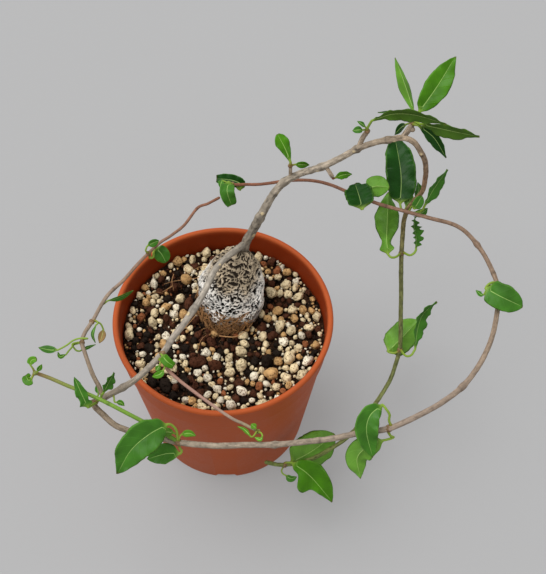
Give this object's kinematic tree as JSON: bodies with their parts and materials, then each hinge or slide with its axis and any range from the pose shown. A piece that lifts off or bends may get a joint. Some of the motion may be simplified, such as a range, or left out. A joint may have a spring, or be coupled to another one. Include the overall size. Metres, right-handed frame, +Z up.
{
  "type": "potted fockea edulis",
  "caption": "Caudex plant in gritty soil in a tapered nursery pot, with an arching woody stem, a low stem that trails in a wide hoop, and narrow wavy leaves in pairs.",
  "frame": {"origin": "middle of the pot's underside, in the plane that the pot stands on", "axes": "+Z up along the pot's axis, +X along the plant's widest spread, to the right in the picture, and the picture looks towards +Y and down"},
  "size_m": [0.2196, 0.1554, 0.1999],
  "materials": {
    "pot_plastic": "satin",
    "grit_soil": "matte",
    "caudex_bark": "matte",
    "stem_bark": "matte",
    "green_shoot": "satin",
    "fine_shoot": "satin",
    "leaf_blade": "satin"
  },
  "bodies": {
    "root": {"pot": "pot_plastic", "soil": "grit_soil", "caudex": "caudex_bark", "stem_arching": "stem_bark", "stem_low": "stem_bark", "vine_hoop": "stem_bark", "vine_left": "stem_bark", "shoot_green": "green_shoot", "shoot_fine": "fine_shoot", "leaves_top": "leaf_blade", "leaves_arch_spur": "leaf_blade", "leaves_mid_spur": "leaf_blade", "leaf_under_spur": "leaf_blade", "leaves_hang_upper": "leaf_blade", "leaves_hang_middle": "leaf_blade", "leaves_hang_lower": "leaf_blade", "leaves_hang_tip": "leaf_blade", "leaves_hoop_front_right": "leaf_blade", "leaf_hoop_right": "leaf_blade", "leaves_hoop_back_right": "leaf_blade", "leaves_hoop_tip": "leaf_blade", "leaves_left_back": "leaf_blade", "leaf_left_side": "leaf_blade", "leaves_left_curl": "leaf_blade", "leaves_left_side_curl": "leaf_blade", "leaves_green_shoot_base": "leaf_blade", "leaf_bud_low": "leaf_blade", "leaves_green_shoot_tip": "leaf_blade", "leaves_hoop_front": "leaf_blade", "leaves_low": "leaf_blade", "leaves_fine_tip": "leaf_blade"}
  },
  "joints": []
}
